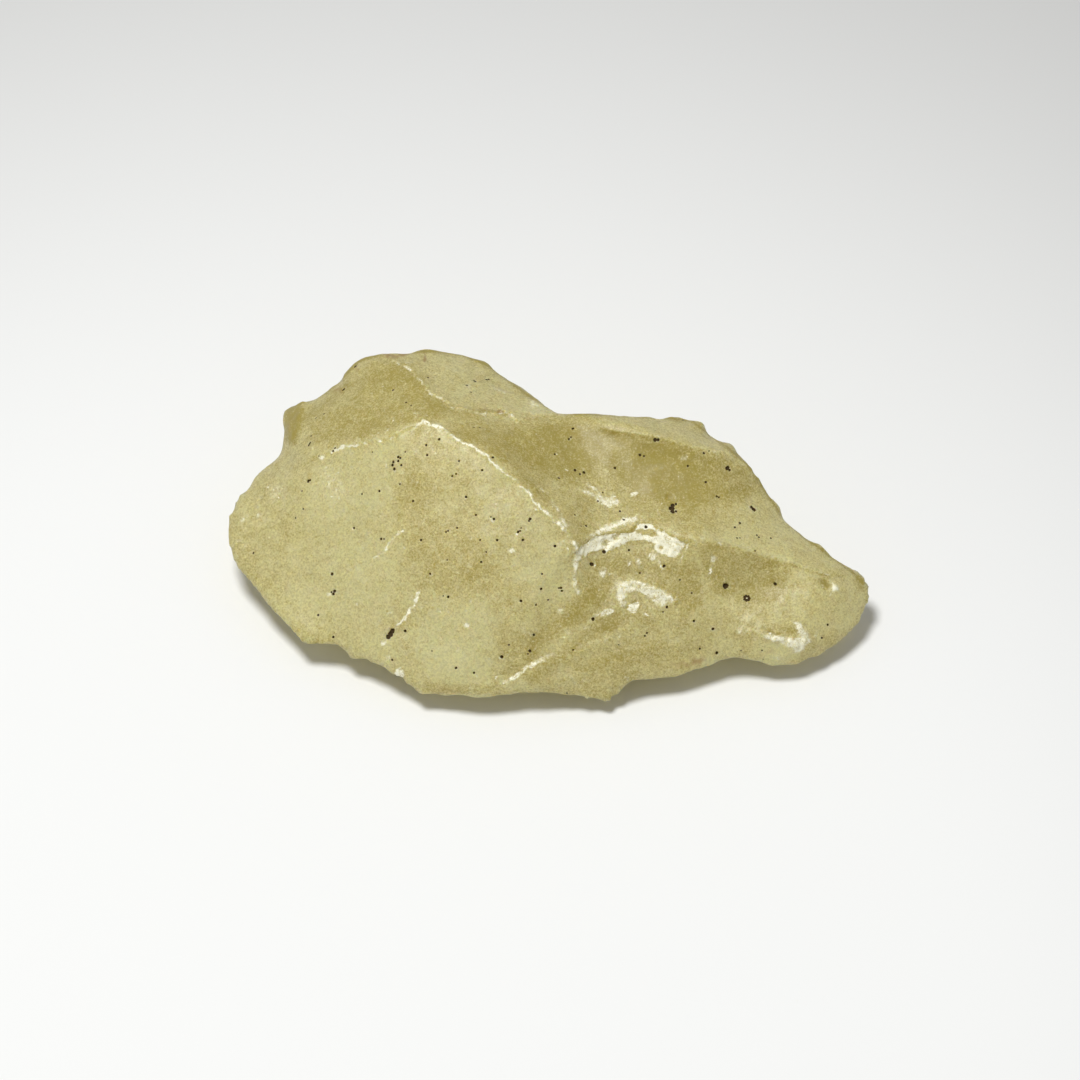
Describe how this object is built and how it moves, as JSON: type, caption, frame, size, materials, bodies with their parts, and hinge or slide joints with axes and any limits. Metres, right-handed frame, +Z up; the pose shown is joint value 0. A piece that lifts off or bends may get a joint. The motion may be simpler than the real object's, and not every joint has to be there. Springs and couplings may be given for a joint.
{
  "type": "raw desert glass",
  "caption": "Raw natural desert glass: a long, low, wind-worn lump of pale yellow-green glass with broad flake scars, ridges and small pits, lying on its flat side.",
  "frame": {"origin": "under the middle of the stone's box, on the surface that the stone lies on", "axes": "+X along the stone towards its blunt snout, +Z up from the flat that it rests on, and the front with the scars faces -Y"},
  "size_m": [0.0444, 0.025, 0.0142],
  "materials": {
    "desert_glass": "frosted, cloudy natural glass"
  },
  "bodies": {
    "root": {"desert_glass_stone": "desert_glass"}
  },
  "joints": []
}
